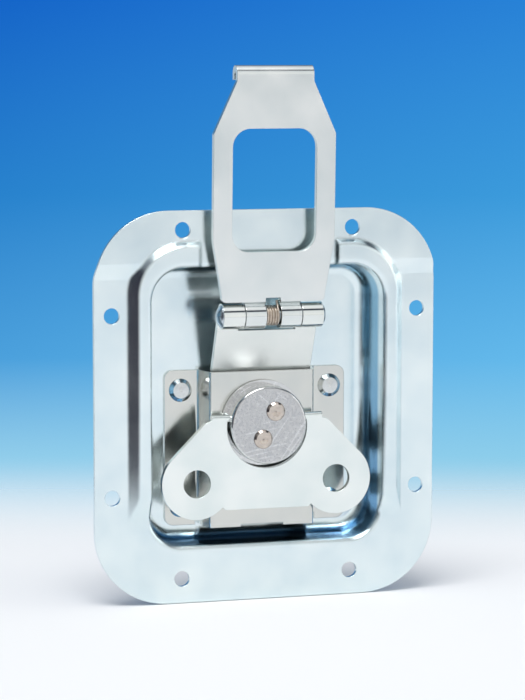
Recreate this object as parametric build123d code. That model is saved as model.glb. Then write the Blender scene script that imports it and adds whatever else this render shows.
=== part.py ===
from build123d import *
import os
from math import acos, asin, atan2, cos, hypot, radians, sin, tan

# Butterfly case latch: a sunk dish with a turning drum, a folding wing and a hinged hasp.
# X runs across the latch, Z up its face and +Y into the case it is mounted on.
# The origin is the centre of the flange's outline, on the flat back face that seats on the case.

os.makedirs("parts", exist_ok=True)

# ---- clearances (mm) ----
move_gap = 0.3          # between pieces that pass each other
shaft_gap = 0.05        # radial, turning fits
rivet_gap = 0.05        # radial, rivets in their holes

# ---- dish ----
dish_width = 114.3
dish_height = 127.0
dish_corner_r = 24.0
dish_sheet = 1.5
top_step = 1.9          # the upper flange stands this much further forward
step_low_z = 42.4
step_high_z = 46.0
step_bend_r = 3.0
mouth_half_w = 39.0     # inner edge of the rim
mouth_half_h = 45.4
mouth_corner_r = 11.0
mouth_edge_r = 1.6
bead_rise = 3.9
bead_slope_deg = 37.0   # of the bead's outer side, from straight ahead
bead_foot_half_w = 46.2
bead_foot_top_z = 55.0
bead_foot_r = 18.5
bead_crest_r = 1.0
bead_gap_half = 22.0    # the hasp lies in this gap of the rim bead
fade_start_z = -29.0    # the bead runs out into the flange between these heights
fade_end_z = -36.5
fade_bend_r = 8.0
pan_depth = 14.0
pan_draft_deg = 4.0
pan_floor_r = 3.5
fixing_hole_r = 2.55
side_hole_inset = 5.85  # from the flange's side edge
side_hole_z = (30.2, -28.3)
end_hole_inset_x = 28.75
top_hole_inset = 6.2
bottom_hole_inset = 7.9

# ---- base plate (hat section) ----
base_sheet = 1.0
base_height = 9.3       # front of the raised plate above the pan's floor
base_front_half = 17.7
base_foot_half = 19.6
base_flange_half = 30.7
base_top_z = 10.6
base_bottom_z = -40.4
base_corner_r = 2.8
base_bend_r = 1.0
base_notch_half = 7.2
base_notch_depth = 0.8
relief_width = 1.6
relief_height = 2.2

# ---- base rivets ----
rivet_x = 25.4
rivet_z = (4.1, -33.9)
rivet_shank_r = 1.9
rivet_head_r = 3.8
rivet_head_rise = 1.5
rivet_top_r = 2.6
rivet_rim = 0.3
rivet_tail_r = 2.9
rivet_tail_rise = 0.8

# ---- drum ----
drum_z = -6.2
drum_r = 12.7
cap_height = 3.5
cap_face_r = 11.6
drum_ring_r = 14.0
drum_ring_height = 1.1
hub_r = 8.0
washer_thick = 0.5
cam_r = 9.5
cam_thick = 1.2
crank_radius = 4.5
crank_pin_r = 3.0
crank_stem_r = 1.4
cam_rivet_r = 2.0
hub_rivet_at = (2.1, 4.45)
hub_rivet_shank_r = 1.5
hub_rivet_head_r = 3.1
hub_rivet_head_rise = 0.8
hub_rivet_top_r = 2.4
hub_rivet_rim = 0.25
hub_rivet_dimple_r = 1.6
hub_rivet_dimple = 0.45
leaf_thick = 0.5
leaf_half_length = 11.2
leaf_half_width = 3.2

# ---- wing ----
wing_sheet = 2.0
pivot_z = -4.0
trunnion_r = 1.3
trunnion_inner_x = 9.6
trunnion_outer_x = 18.6
wing_cut_r = 13.5
wing_cut_z = -7.0
wing_top_z = -4.4
wing_shoulder_x = 20.6
wing_shoulder_z = -5.1
lobe_x = 23.5
lobe_z = -24.8
lobe_r = 11.7
wing_hole_r = 4.55
wing_waist_z = -33.7
wing_waist_half = 14.0
wing_blend_r = 8.0

# ---- hinge, slide link and hasp ----
hinge_z = 29.6
hinge_rise = 4.8        # hinge axis in front of the flange's front face
pin_r = 2.1
plate_sheet = 2.0
knuckle_gap = 0.3
inner_knuckle_half = 9.3
spring_zone_half = 2.5
pin_head_r = 3.7
pin_head_rise = 1.6
pin_end_rise = 0.8
link_low_z = -27.0
link_joggle_low_z = 4.4
link_joggle_high_z = 7.2
link_bend_z = 10.9
link_bend_r = 3.0
link_cut_z = 24.4
slide_travel = 9.0
hasp_offset = 2.65      # front of the hasp's plate in front of the hinge axis
hasp_lean_deg = 2.0     # at rest the hasp leans forward by this much about the hinge
hasp_low_z = 34.3
hasp_half_w = 20.2
hasp_low_half = 17.2
hasp_taper_low_z = 36.5
hasp_taper_high_z = 54.0
hasp_shoulder_z = 88.0
hasp_neck_half = 12.7
hasp_neck_z = 104.6
hasp_top_z = 109.5
hook_depth = 5.5
hook_lip_z = 104.8
window_half = 13.95
window_low_z = 50.3
window_high_z = 89.6
window_r = 5.9
hasp_corner_r = 3.0
notch_top_z = 35.6
tongue_bend_z = 35.0    # below this the sheet runs back to wrap the hinge pin
tongue_bend_r = 1.5
spring_wire_r = 0.45
spring_turns = 5
spring_leg_deg = 150.0  # round the pin from straight back, where the leg leaves the coil
spring_leg = 3.9

# ---- levels along Y that follow from the sizes ----
face_y = -dish_sheet                        # the flange's front face
floor_y = face_y + pan_depth                # front of the pan's floor
plate_y = floor_y - base_height             # front of the base plate's raised part
plate_back_y = plate_y + base_sheet
drum_back_y = plate_y - move_gap            # back of the drum's ring
washer_y = plate_back_y + move_gap
cam_y = washer_y + washer_thick
cam_back_y = cam_y + cam_thick
link_cam_y = cam_back_y + move_gap          # front of the link where it passes the cam plate
link_up_y = plate_back_y + move_gap         # front of the link behind the base plate
pivot_y = face_y                            # the wing's axis lies level with the flange's front
hinge_y = face_y - hinge_rise
hasp_y = hinge_y - hasp_offset              # front of the hasp's plate before it leans
pin_bore_r = pin_r + shaft_gap
barrel_r = pin_bore_r + plate_sheet
wall_slope = (base_foot_half - base_front_half) / base_height
link_half = base_front_half + wall_slope * (link_up_y - plate_y) - base_sheet - move_gap
crank_z = drum_z - crank_radius
side_hole_x = dish_width / 2 - side_hole_inset
end_hole_x = dish_width / 2 - end_hole_inset_x
end_hole_z = (dish_height / 2 - top_hole_inset, bottom_hole_inset - dish_height / 2)
slot_margin = 0.947 / 9.0 * slide_travel + move_gap
slot_half_h = crank_pin_r + slot_margin
slot_half_w = crank_radius + crank_pin_r + 2 * move_gap


def slab(sketch, front_y, thickness):
    """A flat sketch seen from the front, from front_y back into the case by thickness."""
    return extrude(Plane.XZ.offset(-front_y) * sketch, amount=-thickness)


def side_prism(profile, half_width):
    """A profile drawn in (Y, Z), extruded both ways across the latch."""
    return extrude(Plane.YZ * profile, amount=half_width, both=True)


def rod_y(radius, front_y, length, x=0.0, z=0.0):
    """A round bar along Y."""
    return slab(Pos(x, z) * Circle(radius), front_y, length)


def rod_x(radius, low_x, high_x, y, z):
    """A round bar along X."""
    bar = extrude(Plane.YZ.offset(low_x) * Pos(y, z) * Circle(radius), amount=high_x - low_x)
    return bar


def turned_y(points, x=0.0, z=0.0):
    """A profile of (radius, y) points turned about an axis along Y."""
    outline = make_face(Polyline(*[(r, y) for r, y in points], close=True))
    return Pos(x, 0, z) * revolve(outline, Axis.Y)


def save(shape, name):
    shape.label = name
    export_step(shape, f"parts/{name}.step")


# ---- dish ----
def stepped_section(thick):
    """The flange's stepped front in (Y, Z), thick deep, from below the flange to above it."""
    low, high = -dish_height, dish_height
    front = [
        (face_y, low),
        (face_y, step_low_z),
        (face_y - top_step, step_high_z),
        (face_y - top_step, high),
    ]
    line = FilletPolyline(*front, radius=step_bend_r)
    back = Pos(thick, 0) * line
    ends = [Line(line @ 0, back @ 0), Line(line @ 1, back @ 1)]
    return make_face([*line.edges(), *back.edges(), *ends])


def rim_envelope(shift):
    """Room behind the rim bead's crest, which runs out into the flange low on each side."""
    crest = face_y - bead_rise + shift
    level = face_y + shift
    far_y = floor_y + pan_depth
    crest_line = FilletPolyline(
        (crest, dish_height),
        (crest, fade_start_z),
        (level, fade_end_z),
        (level, -dish_height),
        radius=fade_bend_r,
    )
    rest = Polyline(crest_line @ 1, (far_y, -dish_height), (far_y, dish_height), crest_line @ 0)
    return side_prism(make_face([*crest_line.edges(), *rest.edges()]), dish_width)


def mouth(grow):
    return RectangleRounded(
        2 * (mouth_half_w + grow), 2 * (mouth_half_h + grow), mouth_corner_r + grow
    )


def pan_room(grow, from_y, to_y):
    """The pan's tapered hollow, or its outside when grown by the sheet."""
    depth = to_y - from_y
    room = extrude(Plane.XZ.offset(-from_y) * mouth(grow), amount=-depth, taper=pan_draft_deg)
    floor_edges = room.faces().sort_by(Axis.Y)[-1].edges()
    return fillet(floor_edges, pan_floor_r + grow)


def bead_block(sheet):
    """The rim's raised block with its sloping outer side, or the room behind its sheet."""
    slope = radians(bead_slope_deg)
    base_y = face_y + sheet
    grow = sheet * (tan(slope) - 1 / cos(slope))
    foot = RectangleRounded(
        2 * (bead_foot_half_w + grow), 2 * (bead_foot_top_z + grow), bead_foot_r + grow
    )
    block = extrude(Plane.XZ.offset(-base_y) * foot, amount=bead_rise, taper=bead_slope_deg)
    if not sheet:
        block = fillet(block.faces().sort_by(Axis.Y)[0].edges(), bead_crest_r)
    gap = Rectangle(2 * (bead_gap_half + sheet), dish_height)
    gap_at = Pos(0, dish_height / 2)
    block -= extrude(
        Plane.XZ.offset(-base_y) * (gap_at * gap), amount=2 * bead_rise, taper=-bead_slope_deg / 2
    )
    return block & rim_envelope(sheet)


def make_dish():
    outline = RectangleRounded(dish_width, dish_height, dish_corner_r)
    flange = side_prism(stepped_section(dish_sheet), dish_width)
    flange &= slab(outline, face_y - 2 * top_step, dish_sheet + 4 * top_step)
    crest = face_y - bead_rise
    pan = pan_room(dish_sheet, crest, floor_y + dish_sheet)
    hollow = bead_block(dish_sheet) - pan
    pan &= side_prism(stepped_section(2 * pan_depth), dish_width)
    dish = flange + bead_block(0) + pan - hollow
    dish -= pan_room(0, crest, floor_y)
    mouth_edge = dish.edges().sort_by_distance((0, face_y, -mouth_half_h))[0]
    dish = fillet(mouth_edge, mouth_edge_r)
    fixings = [Pos(sx * side_hole_x, z) for sx in (-1, 1) for z in side_hole_z]
    fixings += [Pos(sx * end_hole_x, z) for sx in (-1, 1) for z in end_hole_z]
    for place in fixings:
        dish -= slab(place * Circle(fixing_hole_r), face_y - 2 * top_step, 4 * top_step)
    for sx in (-1, 1):
        for z in rivet_z:
            dish -= rod_y(rivet_shank_r + rivet_gap, floor_y - 1, dish_sheet + 2, sx * rivet_x, z)
    return dish


save(make_dish(), "dish")


# ---- base plate and its rivets ----
def make_base_plate():
    half = [
        (base_flange_half, floor_y - base_sheet),
        (base_foot_half, floor_y - base_sheet),
        (base_front_half - base_sheet * wall_slope, plate_y),
    ]
    hat = half + [(-x, y) for x, y in reversed(half)]
    front = FilletPolyline(*hat, radius=base_bend_r)
    section = make_face(offset(front, base_sheet, side=Side.RIGHT).edges())
    height = base_top_z - base_bottom_z
    plate = extrude(Plane.XY.offset(base_bottom_z) * section, amount=height)
    outline = RectangleRounded(2 * base_flange_half, height, base_corner_r)
    outline = Pos(0, (base_top_z + base_bottom_z) / 2) * outline
    notch = Pos(0, base_bottom_z) * Rectangle(2 * base_notch_half, 2 * base_notch_depth)
    outline -= notch
    for sx in (-1, 1):
        relief = Pos(sx * base_foot_half, base_bottom_z)
        outline -= relief * Rectangle(relief_width, 2 * relief_height)
        for z in rivet_z:
            outline -= Pos(sx * rivet_x, z) * Circle(rivet_shank_r + rivet_gap)
    outline -= Pos(0, drum_z) * Circle(hub_r + shaft_gap)
    return plate & slab(outline, plate_y - 1, base_height + 2)


def make_base_rivet(x, z):
    """A rivet with a low cone head, from the base plate to behind the pan."""
    seat = floor_y - base_sheet
    back = floor_y + dish_sheet
    profile = [
        (0, seat - rivet_head_rise),
        (rivet_top_r, seat - rivet_head_rise + rivet_rim / 2),
        (rivet_head_r, seat - rivet_rim),
        (rivet_head_r, seat),
        (rivet_shank_r, seat),
        (rivet_shank_r, back),
        (rivet_tail_r, back),
        (rivet_tail_r * 0.8, back + rivet_tail_rise),
        (0, back + rivet_tail_rise),
    ]
    return turned_y(profile, x, z)


# ---- drum ----
def hub_rivet_places():
    dx, dz = hub_rivet_at
    return [(dx, drum_z + dz), (-dx, drum_z - dz)]


def trunnion_bore():
    """The two half-round seats of the wing's trunnions, cut across the drum's sides."""
    r = trunnion_r + shaft_gap
    inner = trunnion_inner_x - move_gap
    seats = [rod_x(r, sx * inner if sx > 0 else -drum_ring_r, drum_ring_r if sx > 0 else -inner,
                   pivot_y, pivot_z) for sx in (-1, 1)]
    return seats


def make_drum_cap():
    front = pivot_y - cap_height
    round_w = drum_r - cap_face_r
    profile = Polyline((0, front), (cap_face_r, front))
    rim = RadiusArc((cap_face_r, front), (drum_r, front + round_w), -round_w)
    rest = Polyline((drum_r, front + round_w), (drum_r, pivot_y), (0, pivot_y), (0, front))
    face = make_face([*profile.edges(), *rim.edges(), *rest.edges()])
    cap = Pos(0, 0, drum_z) * revolve(face, Axis.Y)
    for x, z in hub_rivet_places():
        cap -= rod_y(hub_rivet_shank_r + rivet_gap, front - 1, cap_height + 2, x, z)
    for seat in trunnion_bore():
        cap -= seat
    return cap


def leaf_sketch(grow):
    return Pos(0, pivot_z) * Rectangle(2 * (leaf_half_length + grow), 2 * (leaf_half_width + grow))


def make_drum_body():
    hub_height = cam_y - drum_back_y
    ring_front = drum_back_y - drum_ring_height
    body = rod_y(drum_r, pivot_y, drum_back_y - pivot_y, 0, drum_z)
    body += rod_y(drum_ring_r, ring_front, drum_ring_height, 0, drum_z)
    body += rod_y(hub_r, drum_back_y, hub_height, 0, drum_z)
    for x, z in hub_rivet_places():
        body -= rod_y(hub_rivet_shank_r + rivet_gap, pivot_y - 1, cam_y - pivot_y + 2, x, z)
    for seat in trunnion_bore():
        body -= seat
    leaf_back = pivot_y + trunnion_r + move_gap + leaf_thick
    body -= slab(leaf_sketch(rivet_gap), pivot_y - 1, leaf_back - pivot_y + 1)
    body -= rod_y(cam_rivet_r + rivet_gap, cam_y - hub_height, hub_height + 1, 0, drum_z)
    return body


def make_wing_spring():
    """The leaf behind the trunnions that holds the wing down; a hub rivet passes through it."""
    leaf = leaf_sketch(0)
    for x, z in hub_rivet_places():
        leaf -= Pos(x, z) * Circle(hub_rivet_shank_r + rivet_gap)
    return slab(leaf, pivot_y + trunnion_r + move_gap, leaf_thick)


def make_hub_washer():
    ring = Circle(cam_r) - Circle(hub_r + 2 * shaft_gap)
    return slab(Pos(0, drum_z) * ring, washer_y, washer_thick)


def make_cam_plate():
    disc = Pos(0, drum_z) * Circle(cam_r)
    disc -= Pos(0, drum_z) * Circle(cam_rivet_r + rivet_gap)
    disc -= Pos(0, crank_z) * Circle(crank_stem_r + rivet_gap)
    return slab(disc, cam_y, cam_thick)


def make_cam_rivet():
    hub_height = cam_y - drum_back_y
    return rod_y(cam_rivet_r, cam_y - hub_height, hub_height + cam_thick, 0, drum_z)


def make_crank_pin():
    """The pin in the link's cross slot, with its stem through the cam plate."""
    pin_length = link_cam_y + plate_sheet + move_gap - cam_back_y
    return rod_y(crank_pin_r, cam_back_y, pin_length, 0, crank_z) + rod_y(
        crank_stem_r, cam_y, cam_thick, 0, crank_z
    )


def make_hub_rivet(x, z):
    """A rivet with a dimpled dome head on the cap and its tail flush in the hub."""
    seat = pivot_y - cap_height
    profile = [
        (0, seat - hub_rivet_head_rise + hub_rivet_dimple),
        (hub_rivet_dimple_r, seat - hub_rivet_head_rise),
        (hub_rivet_top_r, seat - hub_rivet_head_rise),
        (hub_rivet_head_r, seat - hub_rivet_rim),
        (hub_rivet_head_r, seat),
        (hub_rivet_shank_r, seat),
        (hub_rivet_shank_r, cam_y),
        (0, cam_y),
    ]
    return turned_y(profile, x, z)


# ---- wing ----
def wing_sketch():
    """The butterfly outline: two round lobes, straight shoulders and a round cut-out."""
    shoulder = (wing_shoulder_x, wing_shoulder_z)
    away = (lobe_x - shoulder[0], lobe_z - shoulder[1])
    reach = hypot(*away)
    turn = atan2(away[1], away[0]) + asin(lobe_r / reach)
    length = (reach**2 - lobe_r**2) ** 0.5
    tangent = (shoulder[0] + length * cos(turn), shoulder[1] + length * sin(turn))
    outline = Polyline(
        (0, wing_top_z), (trunnion_outer_x, wing_top_z), shoulder, tangent, (lobe_x, lobe_z),
        (wing_waist_half, wing_waist_z), (0, wing_waist_z), close=True,
    )
    half = make_face(outline) + Pos(lobe_x, lobe_z) * Circle(lobe_r)
    waist = half.vertices().filter_by(
        lambda v: abs(v.Y - wing_waist_z) < 0.01 and wing_waist_half < v.X < lobe_x
    )
    if waist:
        half = fillet(waist, wing_blend_r)
    wing = half + mirror(half, Plane.YZ)
    wing -= Pos(0, wing_cut_z) * Circle(wing_cut_r)
    for sx in (-1, 1):
        wing -= Pos(sx * lobe_x, lobe_z) * Circle(wing_hole_r)
    return wing


def make_wing():
    front = pivot_y - wing_sheet / 2
    plate = slab(wing_sketch(), front, wing_sheet)
    for sx in (-1, 1):
        low, high = sorted((sx * trunnion_inner_x, sx * trunnion_outer_x))
        plate += rod_x(trunnion_r, low, high, pivot_y, pivot_z)
    return plate


save(make_base_plate(), "base_plate")
number = 0
for sx in (-1, 1):
    for z in rivet_z:
        number += 1
        save(make_base_rivet(sx * rivet_x, z), f"base_rivet_{number}")
save(make_drum_cap(), "drum_cap")
save(make_drum_body(), "drum_body")
save(make_wing_spring(), "wing_spring")
save(make_hub_washer(), "hub_washer")
save(make_cam_plate(), "cam_plate")
save(make_cam_rivet(), "cam_rivet")
save(make_crank_pin(), "crank_pin")
for index, (x, z) in enumerate(hub_rivet_places(), start=1):
    save(make_hub_rivet(x, z), f"hub_rivet_{index}")
save(make_wing(), "wing")


# ---- slide link ----
def barrel_profile():
    """One knuckle's ring in (Y, Z)."""
    return Pos(hinge_y, hinge_z) * (Circle(barrel_r) - Circle(pin_bore_r))


def link_section():
    """The link's side profile: foot, cam zone, joggle, guide zone and the rise to the barrel."""
    half = plate_sheet / 2
    cam_mid = link_cam_y + half
    up_mid = link_up_y + half
    wrap_r = barrel_r - half
    to_hinge = (hinge_y - up_mid, hinge_z - link_bend_z)
    reach = hypot(*to_hinge)
    lean = atan2(to_hinge[1], to_hinge[0]) - asin(wrap_r / reach)
    rise = (reach**2 - wrap_r**2) ** 0.5
    middle = FilletPolyline(
        (floor_y - move_gap, link_low_z + half),
        (cam_mid, link_low_z + half),
        (cam_mid, link_joggle_low_z),
        (up_mid, link_joggle_high_z),
        (up_mid, link_bend_z),
        (up_mid + rise * cos(lean), link_bend_z + rise * sin(lean)),
        radius=link_bend_r / 2,
    )
    return trace(middle, line_width=plate_sheet)


def make_slide_link():
    link = side_prism(link_section(), link_half)
    deep = floor_y - hinge_y + barrel_r
    cross_slot = Pos(0, crank_z) * RectangleRounded(2 * slot_half_w, 2 * slot_half_h, crank_pin_r)
    link -= slab(cross_slot, link_cam_y - 1, plate_sheet + 2)
    free_half = inner_knuckle_half + knuckle_gap
    cut_top = hinge_z + 2 * barrel_r
    cut = Pos(0, (link_cut_z + cut_top) / 2) * Rectangle(2 * free_half, cut_top - link_cut_z)
    link -= slab(cut, hinge_y - 2 * barrel_r, deep + 2 * barrel_r)
    for sx in (-1, 1):
        low, high = sorted((sx * free_half, sx * link_half))
        link += extrude(Plane.YZ.offset(low) * barrel_profile(), amount=high - low)
    bore = rod_x(pin_bore_r, -2 * link_half, 2 * link_half, hinge_y, hinge_z)
    return link - bore


# ---- hasp ----
def hasp_section():
    """The hasp's side profile: a flat plate that curls backwards into the hook at its top."""
    hook_r = hook_depth / 2
    inner_r = hook_r - plate_sheet
    hook_y = hasp_y + hook_r
    hook_z = hasp_top_z - hook_r
    plate = Pos(hasp_y + plate_sheet / 2, (hinge_z + hook_z) / 2) * Rectangle(
        plate_sheet, hook_z - hinge_z
    )
    curl = Pos(hook_y, hook_z) * (Circle(hook_r) - Circle(inner_r))
    curl -= Pos(hook_y, hook_z - hook_r) * Rectangle(2 * hook_depth, 2 * hook_r)
    lip = Pos(hasp_y + hook_depth - plate_sheet / 2, (hook_lip_z + hook_z) / 2) * Rectangle(
        plate_sheet, hook_z - hook_lip_z
    )
    return plate + curl + lip


def hasp_outline():
    """The hasp's plate from the front: shoulders, tapered foot, neck and window."""
    side = [
        (hasp_low_half, hasp_low_z),
        (hasp_low_half, hasp_taper_low_z),
        (hasp_half_w, hasp_taper_high_z),
        (hasp_half_w, hasp_shoulder_z),
        (hasp_neck_half, hasp_neck_z),
        (hasp_neck_half, hasp_top_z + 1),
    ]
    corners = side + [(-x, z) for x, z in reversed(side)]
    outline = make_face(Polyline(*corners, close=True))
    rounded = outline.vertices().filter_by(lambda v: v.Y < hasp_neck_z + 1)
    outline = fillet(rounded, hasp_corner_r / 2)
    window = Pos(0, (window_low_z + window_high_z) / 2) * RectangleRounded(
        2 * window_half, window_high_z - window_low_z, window_r
    )
    return outline - window


def tongue_section():
    """The sheet that runs from the plate's foot back over the pin's barrel."""
    middle_y = plate_sheet / 2 - hasp_offset
    bend_z = tongue_bend_z - hinge_z
    wrap_r = barrel_r - plate_sheet / 2
    touch = atan2(bend_z, middle_y) - acos(wrap_r / hypot(middle_y, bend_z))
    middle = FilletPolyline(
        (middle_y, bend_z + plate_sheet),
        (middle_y, bend_z),
        (wrap_r * cos(touch), wrap_r * sin(touch)),
        radius=tongue_bend_r,
    )
    return Pos(hinge_y, hinge_z) * trace(middle, line_width=plate_sheet)


def make_hasp():
    plate = side_prism(hasp_section(), hasp_half_w)
    hasp = plate & slab(hasp_outline(), hasp_y - 1, hook_depth + 2)
    hasp += side_prism(tongue_section(), inner_knuckle_half)
    hasp += side_prism(barrel_profile(), inner_knuckle_half)
    notch_low = hinge_z - 2 * barrel_r
    notch = Pos(0, (notch_low + notch_top_z) / 2) * Rectangle(
        2 * spring_zone_half, notch_top_z - notch_low
    )
    hasp -= slab(notch, hinge_y - 2 * barrel_r, 4 * barrel_r)
    hasp -= rod_x(pin_bore_r, -2 * hasp_half_w, 2 * hasp_half_w, hinge_y, hinge_z)
    return hasp.rotate(Axis((0, hinge_y, hinge_z), (1, 0, 0)), hasp_lean_deg)


# ---- hinge pin and spring ----
def make_hinge_pin():
    """The pin with a domed head against the left knuckle and a low peened right end."""
    left, right = -link_half, link_half
    flat = pin_head_r - pin_end_rise
    outline = Polyline(
        (left, 0), (right + pin_end_rise, 0), (right + pin_end_rise, flat), (right, pin_head_r),
        (right, pin_r), (left, pin_r), (left, pin_head_r),
    )
    ball_r = (pin_head_r**2 + pin_head_rise**2) / (2 * pin_head_rise)
    dome = RadiusArc((left, pin_head_r), (left - pin_head_rise, 0), -ball_r)
    foot = Line((left - pin_head_rise, 0), (left, 0))
    pin = revolve(make_face([*outline.edges(), dome, foot]), Axis.X)
    return Pos(0, hinge_y, hinge_z) * pin


def make_hinge_spring():
    """The torsion coil on the pin, its turns lying close, with one leg up in the hasp's notch."""
    inner = pin_r + move_gap
    outer = inner + 2 * spring_wire_r
    half = spring_zone_half - move_gap
    pitch = 2 * half / spring_turns
    ridges = []
    for turn in range(spring_turns):
        x = turn * pitch - half
        ridges += [(x, outer - spring_wire_r), (x + 0.3 * pitch, outer), (x + 0.7 * pitch, outer)]
    section = Polyline(*ridges, (half, outer - spring_wire_r), (half, inner), (-half, inner),
                       close=True)
    coil = revolve(make_face(section), Axis.X)
    leaves = radians(spring_leg_deg)
    middle_r = inner + spring_wire_r
    start = Vector(half - spring_wire_r, middle_r * cos(leaves), middle_r * sin(leaves))
    along = Vector(0, sin(leaves), -cos(leaves))
    leg = extrude(Plane(origin=start, z_dir=along) * Circle(spring_wire_r), amount=spring_leg)
    return Pos(0, hinge_y, hinge_z) * (coil + leg)


save(make_slide_link(), "slide_link")
save(make_hasp(), "hasp")
save(make_hinge_pin(), "hinge_pin")
save(make_hinge_spring(), "hinge_spring")
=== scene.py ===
# %% [markdown]
# A butterfly case latch is almost all pressed steel sheet, so its shapes are already in the frame.
# The frame is loaded first and none of its meshes is changed: this script gives the latch its
# finishes, its light and its surroundings. The frame's box is kept and sets the floor's height.

# %% Load the frame
import math

import bpy
from mathutils import Matrix, Vector


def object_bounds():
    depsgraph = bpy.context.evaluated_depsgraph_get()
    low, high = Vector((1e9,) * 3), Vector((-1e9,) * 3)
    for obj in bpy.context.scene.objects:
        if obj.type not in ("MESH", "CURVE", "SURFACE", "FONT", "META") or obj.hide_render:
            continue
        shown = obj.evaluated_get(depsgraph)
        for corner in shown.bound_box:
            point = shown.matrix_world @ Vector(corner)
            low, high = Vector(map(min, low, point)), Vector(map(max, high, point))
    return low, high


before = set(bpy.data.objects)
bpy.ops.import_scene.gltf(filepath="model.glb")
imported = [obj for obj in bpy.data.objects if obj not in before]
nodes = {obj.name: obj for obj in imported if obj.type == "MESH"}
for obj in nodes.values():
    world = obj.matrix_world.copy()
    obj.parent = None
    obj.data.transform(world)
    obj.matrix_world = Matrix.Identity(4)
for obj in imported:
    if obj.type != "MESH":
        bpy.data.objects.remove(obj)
frame_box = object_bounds()
print("nodes:", len(nodes), "box:", [round(v, 4) for corner in frame_box for v in corner])

# %% [markdown]
# A long lens far away keeps the sheet's edges nearly parallel, as a catalogue picture does.
# The camera stands to the left and slightly above. It could be aimed by a constraint, but a
# matrix of its right, up and back axes holds its slight roll as well.

# %% Camera
RIGHT = Vector((0.957985, -0.286816, 0.001191))
DOWN = Vector((-0.030892, -0.107310, -0.993746))
FORWARD = Vector((0.285150, 0.951956, -0.111662))
CAMERA_AT = Vector((-0.2544, -0.8463, 0.1170))
FOCAL_SHARE = 2750 / 700    # focal length over the frame's long side
SENSOR_MM = 36.0

camera_data = bpy.data.cameras.new("latch_camera")
camera_data.sensor_width = SENSOR_MM
camera_data.lens = SENSOR_MM * FOCAL_SHARE
camera_data.clip_start = 0.05
camera_data.clip_end = 50
camera = bpy.data.objects.new("latch_camera", camera_data)
bpy.context.scene.collection.objects.link(camera)
turn = Matrix((RIGHT, -DOWN, -FORWARD)).transposed()
camera.matrix_world = Matrix.Translation(CAMERA_AT) @ turn.to_4x4()
bpy.context.scene.camera = camera
print("camera lens:", round(camera_data.lens, 2), "mm, distance:", round(CAMERA_AT.length, 3), "m")

# %% [markdown]
# Every finish needs the same small steps: a material, its shader, and a few noise patterns.
# Short helpers make those steps, so that each finish below reads as a list of its own facts.
# The patterns read object coordinates, which on a frame node are metres from the latch's origin,
# so a pattern keeps its real size and runs on from one piece to the next.

# %% Helpers for patterns
def new_material(name):
    material = bpy.data.materials.new(name)
    material.use_nodes = True
    tree = material.node_tree
    return material, tree, tree.nodes["Principled BSDF"]


def add_node(tree, kind, **values):
    """A node of that kind, with its attributes or inputs set by name."""
    node = tree.nodes.new(kind)
    for key, value in values.items():
        if hasattr(node, key):
            setattr(node, key, value)
        else:
            node.inputs[key.replace("_", " ")].default_value = value
    return node


def noise(tree, scale, detail, stretch=(1, 1, 1), turn_deg=0):
    """Noise in metres, turned in the latch's face and then drawn out by stretch."""
    place = add_node(tree, "ShaderNodeTexCoord")
    drawn = add_node(tree, "ShaderNodeMapping", vector_type="TEXTURE")
    drawn.inputs["Rotation"].default_value = (0, math.radians(turn_deg), 0)
    drawn.inputs["Scale"].default_value = stretch
    pattern = add_node(tree, "ShaderNodeTexNoise", Scale=scale, Detail=detail, Roughness=0.55)
    tree.links.new(place.outputs["Object"], drawn.inputs["Vector"])
    tree.links.new(drawn.outputs["Vector"], pattern.inputs["Vector"])
    return pattern.outputs["Fac"]


def ramp(tree, source, stops):
    """A colour ramp through (position, value or colour) stops."""
    node = tree.nodes.new("ShaderNodeValToRGB")
    elements = node.color_ramp.elements
    while len(elements) < len(stops):
        elements.new(0.5)
    for element, (position, value) in zip(elements, stops):
        element.position = position
        colour = value if isinstance(value, tuple) else (value, value, value)
        element.color = (*colour, 1)
    tree.links.new(source, node.inputs["Fac"])
    return node.outputs["Color"]


print("pattern helpers ready")

# %% [markdown]
# Some finishes change from place to place on one piece: a rolled rim, a barrel; and a drawn wall
# carries painted shade. Painting such places by hand would tie them to the mesh, so each is a span
# of X, Y or Z that runs from 0 to 1, and a finish is smoothed or tinted by it.

# %% Helpers for places
def place_span(tree, axis, low, high, ease="LINEAR"):
    """Where a point's X, Y or Z in metres lies between low and high, as 0 to 1."""
    place = add_node(tree, "ShaderNodeTexCoord")
    parts = add_node(tree, "ShaderNodeSeparateXYZ")
    span = add_node(tree, "ShaderNodeMapRange", interpolation_type=ease)
    span.inputs["From Min"].default_value = low
    span.inputs["From Max"].default_value = high
    tree.links.new(place.outputs["Object"], parts.inputs["Vector"])
    tree.links.new(parts.outputs[axis], span.inputs["Value"])
    return span.outputs["Result"]


def math_node(tree, operation, first, second):
    """Two sockets, or a socket and a number, joined by one sum."""
    node = add_node(tree, "ShaderNodeMath", operation=operation)
    tree.links.new(first, node.inputs[0])
    if isinstance(second, (int, float)):
        node.inputs[1].default_value = second
    else:
        tree.links.new(second, node.inputs[1])
    return node.outputs["Value"]


def smoothed(tree, shader, share, factor):
    """Multiplies the shader's roughness by a factor where share is 1."""
    source = shader.inputs["Roughness"].links[0].from_socket
    kept = math_node(tree, "MULTIPLY_ADD", share, factor - 1)
    kept.node.inputs[2].default_value = 1.0
    tree.links.new(math_node(tree, "MULTIPLY", source, kept), shader.inputs["Roughness"])


def tinted(tree, shader, share, tint):
    """Multiplies the shader's colour by a tint where share is 1."""
    source = shader.inputs["Base Color"].links[0].from_socket
    blend = add_node(tree, "ShaderNodeMix", data_type="RGBA", blend_type="MULTIPLY")
    tree.links.new(share, blend.inputs[0])
    tree.links.new(source, blend.inputs[6])
    blend.inputs[7].default_value = (*tint, 1)
    tree.links.new(blend.outputs[2], shader.inputs["Base Color"])


print("place helpers ready")

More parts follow.
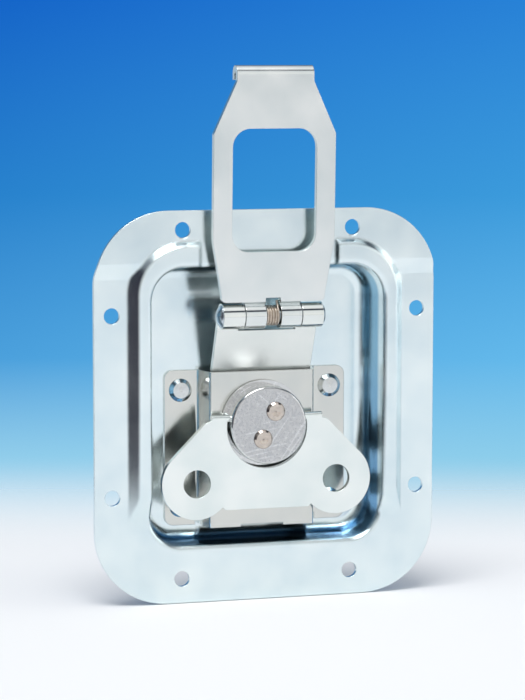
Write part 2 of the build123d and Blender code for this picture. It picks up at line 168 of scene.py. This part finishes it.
# %% [markdown]
# All the metal here is the same idea: full metal, whose colour and roughness drift together with
# one pattern, and a faint relief from a finer one. A sharp mesh edge reflects nothing, so a
# Bevel node rounds every edge in the shading alone and lets it catch a line of light.

# %% Helpers for metal
RELIEF_STRENGTH = 0.5


def plated_metal(name, pattern, tones, roughs, relief, relief_height, edge_radius):
    """Metal from (pattern, relief) makers, with its tones and roughnesses as ramp stops."""
    material, tree, shader = new_material(name)
    drift = pattern(tree)
    tree.links.new(ramp(tree, drift, tones), shader.inputs["Base Color"])
    tree.links.new(ramp(tree, drift, roughs), shader.inputs["Roughness"])
    shader.inputs["Metallic"].default_value = 1.0
    rise = add_node(tree, "ShaderNodeBump", Strength=RELIEF_STRENGTH, Distance=relief_height)
    edge = add_node(tree, "ShaderNodeBevel", samples=4, Radius=edge_radius)
    tree.links.new(relief(tree) if relief else drift, rise.inputs["Height"])
    tree.links.new(edge.outputs["Normal"], rise.inputs["Normal"])
    tree.links.new(rise.outputs["Normal"], shader.inputs["Normal"])
    return material, tree, shader, edge


def finish_nodes(material, *names):
    """Gives frame nodes their finish through their own material slots."""
    for name in names:
        mesh = nodes[name].data
        mesh.materials.clear()
        mesh.materials.append(material)


print("metal helpers ready")

# %% [markdown]
# Bright zinc plate is a mirror that thin passivation has made milky. Its colour and roughness
# drift in soft clouds about as wide as a fingertip, over a fine grain from the rolled sheet. The
# dish has the bluest film, and the plates on it are warmer in tone.

# %% Plated sheet
CLOUD_SCALE = 60.0
GRAIN_SCALE = 2200.0
GRAIN_STRETCH = (1, 1, 12)
SHEET_RELIEF = 0.000012
SHEET_EDGE = 0.0003


def plated_sheet(name, light, dark, rough_low, rough_high):
    return plated_metal(
        name,
        lambda tree: noise(tree, CLOUD_SCALE, 4.0),
        [(0.3, dark), (0.7, light)],
        [(0.25, rough_low), (0.75, rough_high)],
        lambda tree: noise(tree, GRAIN_SCALE, 2.0, stretch=GRAIN_STRETCH),
        SHEET_RELIEF,
        SHEET_EDGE,
    )


dish_zinc, dish_tree, dish_shader, dish_edge = plated_sheet(
    "dish_zinc", (0.82, 0.90, 0.91), (0.67, 0.78, 0.82), 0.11, 0.21
)
plate_zinc, *_ = plated_sheet("plate_zinc", (0.70, 0.70, 0.66), (0.60, 0.62, 0.60), 0.12, 0.20)
hasp_zinc, hasp_tree, hasp_shader, _ = plated_sheet(
    "hasp_zinc", (0.80, 0.82, 0.81), (0.66, 0.71, 0.71), 0.16, 0.28
)
link_zinc, link_tree, link_shader, _ = plated_sheet(
    "link_zinc", (0.82, 0.84, 0.82), (0.74, 0.78, 0.76), 0.34, 0.42
)
wing_zinc, *_ = plated_sheet("wing_zinc", (0.89, 0.92, 0.90), (0.73, 0.80, 0.79), 0.15, 0.27)
pin_zinc, *_ = plated_sheet("pin_zinc", (0.70, 0.76, 0.82), (0.62, 0.68, 0.74), 0.24, 0.30)
finish_nodes(dish_zinc, "dish")
finish_nodes(plate_zinc, "base_plate")
finish_nodes(link_zinc, "slide_link")
finish_nodes(hasp_zinc, "hasp")
finish_nodes(wing_zinc, "wing")
finish_nodes(pin_zinc, "hinge_pin")
print("plated sheet on dish, base plate, link, hasp, wing and hinge pin")

# %% [markdown]
# The hinge's knuckles are the two plates' own sheet, rolled round the pin. Rolling and turning
# burnish them, so a band across the hinge, just below the plate's foot, is shinier than the rest.

# %% Burnished barrels
BARREL_TOP_Z, BARREL_LOW_Z = 0.0338, 0.0258
BARREL_TOP_FADE, BARREL_LOW_FADE = 0.0006, 0.0013
for tree, shader, factor in ((hasp_tree, hasp_shader, 0.35), (link_tree, link_shader, 0.2)):
    barrel = math_node(
        tree, "MULTIPLY",
        place_span(tree, "Z", BARREL_TOP_Z + BARREL_TOP_FADE, BARREL_TOP_Z),
        place_span(tree, "Z", BARREL_LOW_Z - BARREL_LOW_FADE, BARREL_LOW_Z),
    )
    smoothed(tree, shader, barrel, factor)
print("barrels burnished between", BARREL_LOW_Z, "and", BARREL_TOP_Z, "m")

# %% [markdown]
# The dish's bead and mouth are drawn over a round tool, so inside the flange its edges are
# rounder than the sheared ones. The radius of the shading's bevel is widened there.
# The drawn wall faces between the rim and the floor get a painted shade, a dark blue tint for the
# shade in the recess, deepest towards the bottom.

# %% Rim and painted wall shade of the dish
RIM_X, RIM_LOW_Z, RIM_HIGH_Z = 0.0475, -0.050, 0.0545
RIM_FADE = 0.0005
ROLLED_EDGE = 0.0014
rim = math_node(
    dish_tree, "MULTIPLY",
    math_node(
        dish_tree, "MULTIPLY",
        place_span(dish_tree, "X", -RIM_X - RIM_FADE, -RIM_X),
        place_span(dish_tree, "X", RIM_X + RIM_FADE, RIM_X),
    ),
    math_node(
        dish_tree, "MULTIPLY",
        place_span(dish_tree, "Z", RIM_LOW_Z - RIM_FADE, RIM_LOW_Z),
        place_span(dish_tree, "Z", RIM_HIGH_Z + RIM_FADE, RIM_HIGH_Z),
    ),
)
wider = math_node(dish_tree, "MULTIPLY", rim, ROLLED_EDGE - SHEET_EDGE)
rim_radius = math_node(dish_tree, "ADD", wider, SHEET_EDGE)
dish_tree.links.new(rim_radius, dish_edge.inputs["Radius"])

# Painted shade: the pan's drawn wall faces are tinted dark blue for the recess's shade, and more
# deeply towards the bottom.
wall_shade = math_node(
    dish_tree, "MULTIPLY",
    place_span(dish_tree, "Y", -0.001, 0.001),
    place_span(dish_tree, "Y", 0.0122, 0.0102),
)
low_wall_shade = math_node(dish_tree, "MULTIPLY", wall_shade, place_span(dish_tree, "Z", 0.02, -0.03))
tinted(dish_tree, dish_shader, wall_shade, (0.32, 0.55, 0.72))
tinted(dish_tree, dish_shader, low_wall_shade, (0.65, 0.80, 1.00))
print("rim rounded to", ROLLED_EDGE, "m, walls tinted")

# %% [markdown]
# The drum's cap is turned and then satined, with a grain too fine to have a direction. The
# rivets are upset steel, the inner works plain rolled strip, and the spring copper-coloured wire.
# Here one fine pattern drives colour, roughness and relief together: light where it is smoothest.

# %% Turned and formed pieces
SATIN_SCALE, CAP_SATIN_SCALE = 900.0, 1700.0
SATIN_RELIEF = 0.00001
SATIN_EDGE = 0.0002
NO_GRAIN = (1, 1, 1)


def satin_steel(name, light, dark, rough_low, rough_high, grain=NO_GRAIN, scale=SATIN_SCALE):
    return plated_metal(
        name,
        lambda tree: noise(tree, scale, 5.0, stretch=grain),
        [(0.3, dark), (0.7, light)],
        [(0.3, rough_high), (0.7, rough_low)],
        None,
        SATIN_RELIEF,
        SATIN_EDGE,
    )


drum_satin, drum_tree, drum_shader, _ = satin_steel(
    "drum_satin", (0.60, 0.60, 0.60), (0.45, 0.46, 0.48), 0.20, 0.34, scale=CAP_SATIN_SCALE
)
rivet_steel, rivet_tree, rivet_shader, _ = satin_steel(
    "rivet_steel", (0.66, 0.59, 0.53), (0.50, 0.44, 0.39), 0.08, 0.16
)
base_rivet_steel, *_ = satin_steel(
    "base_rivet_steel", (0.70, 0.72, 0.72), (0.60, 0.62, 0.62), 0.10, 0.18
)
inner_steel, *_ = satin_steel(
    "inner_steel", (0.6, 0.61, 0.63), (0.5, 0.51, 0.53), 0.3, 0.5, grain=(1, 1, 10)
)
copper_wire, *_ = satin_steel(
    "copper_wire", (0.66, 0.58, 0.50), (0.50, 0.44, 0.38), 0.3, 0.45, grain=(1, 5, 1)
)
finish_nodes(drum_satin, "drum_cap", "drum_body")
finish_nodes(rivet_steel, "hub_rivet_1", "hub_rivet_2", "cam_rivet")
finish_nodes(base_rivet_steel, "base_rivet_1", "base_rivet_2", "base_rivet_3", "base_rivet_4")
finish_nodes(inner_steel, "cam_plate", "crank_pin", "hub_washer", "wing_spring")
finish_nodes(copper_wire, "hinge_spring")
bare = [n for n, o in nodes.items() if not o.data.materials or o.data.materials[0] is None]
print("nodes without a finish:", bare)

# %% [markdown]
# Only the drum's flat face is satined: its rolled rim and sides are as bright as the plate.
# Handling leaves fine scratches on the face, here in three directions, each a noise drawn out into
# lines and cut off so that only its peaks show. The rivets' heads get a painted shade at the foot,
# a dark ring for the contact shadow where head meets face, so that each keeps an outline against
# the face.

# %% Wear on the drum, and painted shade at the rivets' feet
CAP_FACE_Y, CAP_RIM_Y = -0.00498, -0.0047
RIVET_TOP_Y, RIVET_FOOT_Y = -0.0055, -0.0051
SCRATCH_TURNS_DEG = (35, -50, 80)

cap_sides = place_span(drum_tree, "Y", CAP_FACE_Y, CAP_RIM_Y)
smoothed(drum_tree, drum_shader, cap_sides, 0.3)
tinted(drum_tree, drum_shader, cap_sides, (1.2, 1.2, 1.18))
for turn_deg in SCRATCH_TURNS_DEG:
    lines = noise(drum_tree, 1500.0, 1.0, stretch=(1, 1, 18), turn_deg=turn_deg)
    scratch = ramp(drum_tree, lines, [(0.66, 0.0), (0.70, 1.0)])
    tinted(drum_tree, drum_shader, scratch, (1.2, 1.2, 1.2))
# Painted shade: a dark ring at each rivet head's foot stands in for its contact shadow on the
# face.
rivet_foot_shade = place_span(rivet_tree, "Y", RIVET_TOP_Y, RIVET_FOOT_Y)
tinted(rivet_tree, rivet_shader, rivet_foot_shade, (0.16, 0.15, 0.15))
print("scratches in", len(SCRATCH_TURNS_DEG), "directions")

# %% [markdown]
# The frame's curved faces are made of small flats. Shading them smooth across shallow angles
# only, and flat across real edges, lets the rolled beads read as rolled.

# %% Smooth shading
SMOOTH_DEG = 30
for node in nodes.values():
    bpy.context.view_layer.objects.active = node
    node.select_set(True)
    bpy.ops.object.shade_auto_smooth(angle=math.radians(SMOOTH_DEG))
    node.select_set(False)
print("smoothed below", SMOOTH_DEG, "degrees")

# %% [markdown]
# The latch stands on its lower edge on a pale floor. The floor runs on far in front, because a
# flat plated face mirrors what lies in front of it, and a pale floor keeps that face pale.
# Behind the latch the floor fades out into the backdrop, so that no horizon is seen. It also
# ends at the left, though not for the camera: the rolled edges show a dark wing there instead.

# %% Floor
VIEW_TURN = math.atan2(FORWARD.x, FORWARD.y)    # the floor's far edge is square to the view
FADE_BACK = (0.30, 0.06)    # from gone to whole, along the floor's depth
FADE_LEFT = (-0.30, -0.20)  # and from its left
FLOOR_SIZE = 6.0
FLOOR_GAP = 0.0002          # under the latch's lowest point

floor_paint, floor_tree, floor_shader = new_material("floor_paint")
floor_shader.inputs["Base Color"].default_value = (0.90, 0.90, 0.90, 1)
floor_shader.inputs["Roughness"].default_value = 0.8
floor_shader.inputs["Specular IOR Level"].default_value = 0.1
floor_ray = add_node(floor_tree, "ShaderNodeLightPath")
depth_kept = place_span(floor_tree, "Y", *FADE_BACK, ease="SMOOTHSTEP")
left_kept = place_span(floor_tree, "X", *FADE_LEFT, ease="SMOOTHSTEP")
left_seen = math_node(floor_tree, "MAXIMUM", left_kept, floor_ray.outputs["Is Camera Ray"])
floor_kept = math_node(floor_tree, "MULTIPLY", depth_kept, left_seen)
floor_tree.links.new(floor_kept, floor_shader.inputs["Alpha"])

half = FLOOR_SIZE / 2
floor_mesh = bpy.data.meshes.new("floor")
floor_mesh.from_pydata(
    [(-half, -half, 0), (half, -half, 0), (half, half, 0), (-half, half, 0)], [], [(0, 1, 2, 3)]
)
floor_mesh.materials.append(floor_paint)
floor = bpy.data.objects.new("floor", floor_mesh)
floor.location = (0, 0, frame_box[0].z - FLOOR_GAP)
floor.rotation_euler = (0, 0, -VIEW_TURN)
bpy.context.scene.collection.objects.link(floor)
print("floor at", round(floor.location.z, 4))

# %% [markdown]
# The camera sees a backdrop that runs from deep blue above to white at the floor, with painted
# light making it a little paler on the right, as a blue sheet lit from that side looks, and a
# faint painted shadow of the latch low on the right. The world's own direction drives it, so it
# needs no mesh behind the latch. A few plain colours are enough for each side. They are given as
# screen colours, which a helper makes linear.

# %% Backdrop
SEEN_LOW, SEEN_HIGH = -0.22, 0.015    # the direction's Z at the gradient's foot and head
SEEN_LEFT, SEEN_RIGHT = 0.19, 0.38    # and its X at the two sides
SKY_HEIGHTS = (0.03, 0.17, 0.30, 0.45, 0.70, 1.0)
LEFT_SKY = (
    (250, 250, 250), (215, 235, 245), (145, 205, 235),
    (75, 160, 220), (40, 130, 205), (20, 100, 200),
)
# Painted light and shadow: paler than the left higher up, and darker than it low down, where the
# latch's shadow falls.
RIGHT_SKY_LIT_SHADOWED = (
    (250, 250, 250), (200, 225, 235), (140, 205, 235),
    (100, 185, 235), (60, 155, 220), (40, 130, 215),
)

world = bpy.data.worlds.new("studio")
bpy.context.scene.world = world
world.use_nodes = True
sky = world.node_tree
background = sky.nodes["Background"]
direction = add_node(sky, "ShaderNodeTexCoord")
split = add_node(sky, "ShaderNodeSeparateXYZ")
sky.links.new(direction.outputs["Generated"], split.inputs["Vector"])


def linear(screen):
    """A screen colour, 0 to 255 a channel, as linear light."""
    return tuple(((v / 255 + 0.055) / 1.055) ** 2.4 for v in screen)


def sky_span(axis, low, high):
    """Where the looked-at direction's X, Y or Z lies between low and high, as 0 to 1."""
    span = add_node(sky, "ShaderNodeMapRange")
    span.inputs["From Min"].default_value = low
    span.inputs["From Max"].default_value = high
    sky.links.new(split.outputs[axis], span.inputs["Value"])
    return span.outputs["Result"]


def sky_mix(share, first, second):
    blend = add_node(sky, "ShaderNodeMix", data_type="RGBA")
    sky.links.new(share, blend.inputs[0])
    sky.links.new(first, blend.inputs[6])
    sky.links.new(second, blend.inputs[7])
    return blend.outputs[2]


height = sky_span("Z", SEEN_LOW, SEEN_HIGH)
sides = [
    ramp(sky, height, [(at, linear(colour)) for at, colour in zip(SKY_HEIGHTS, colours)])
    for colours in (LEFT_SKY, RIGHT_SKY_LIT_SHADOWED)
]
seen = sky_mix(sky_span("X", SEEN_LEFT, SEEN_RIGHT), *sides)
print("backdrop set through", len(SKY_HEIGHTS), "heights")

# %% [markdown]
# Polished plate shows the room it stands in, so the room is set apart from the backdrop: a pale
# wall in front with a dark slot under its ceiling light, a dark wing at the left, and blue behind.
# Cards round the latch could do the same, but a few ramps by direction are easier to move.

# %% Room seen by the metal
rise = sky_span("Z", -1.0, 1.0)
front_room = ramp(sky, rise, [
    (0.0, (0.30, 0.36, 0.38)),
    (0.42, (0.95, 0.96, 0.96)),
    (0.50, (0.99, 0.99, 0.98)),
    (0.78, (0.90, 0.93, 0.95)),
    (0.82, (0.04, 0.05, 0.07)),
    (0.88, (0.04, 0.05, 0.07)),
    (0.91, (0.96, 0.97, 0.98)),
    (1.0, (0.96, 0.97, 0.98)),
])
back_room = ramp(sky, rise, [
    (0.0, (0.60, 0.66, 0.70)),
    (0.47, (0.62, 0.74, 0.82)),
    (0.56, (0.12, 0.30, 0.52)),
    (0.80, (0.04, 0.10, 0.20)),
    (1.0, (0.90, 0.92, 0.95)),
])
dark_wing = ramp(sky, rise, [
    (0.0, (0.30, 0.30, 0.30)),
    (0.45, (0.05, 0.045, 0.06)),
    (0.75, (0.03, 0.03, 0.045)),
    (1.0, (0.80, 0.82, 0.85)),
])
room = sky_mix(sky_span("Y", -0.15, 0.25), front_room, back_room)
lit = sky_mix(sky_span("X", -0.40, -0.85), room, dark_wing)
ray = add_node(sky, "ShaderNodeLightPath")
sky.links.new(sky_mix(ray.outputs["Is Camera Ray"], lit, seen), background.inputs["Color"])
background.inputs["Strength"].default_value = 1.0
print("room set")

# %% [markdown]
# One large soft box above and to the left gives the floor its soft shadow and whitens the tops
# of the rolled edges. A tall strip on the right draws the bright line along the rim's bead.

# %% Lamps
def soft_box(name, place, aim, width, height, watts):
    lamp = bpy.data.lights.new(name, "AREA")
    lamp.shape = "RECTANGLE"
    lamp.size = width
    lamp.size_y = height
    lamp.energy = watts
    box = bpy.data.objects.new(name, lamp)
    box.location = place
    box.rotation_euler = (Vector(aim) - Vector(place)).to_track_quat("-Z", "Y").to_euler()
    bpy.context.scene.collection.objects.link(box)


soft_box("top_box", (-0.50, -0.75, 2.1), (0, 0, 0.02), 1.5, 1.0, 33.0)
soft_box("right_strip", (0.75, -0.35, 0.15), (0, 0, 0.0), 0.12, 0.6, 0.5)
bpy.context.scene.view_settings.view_transform = "Standard"
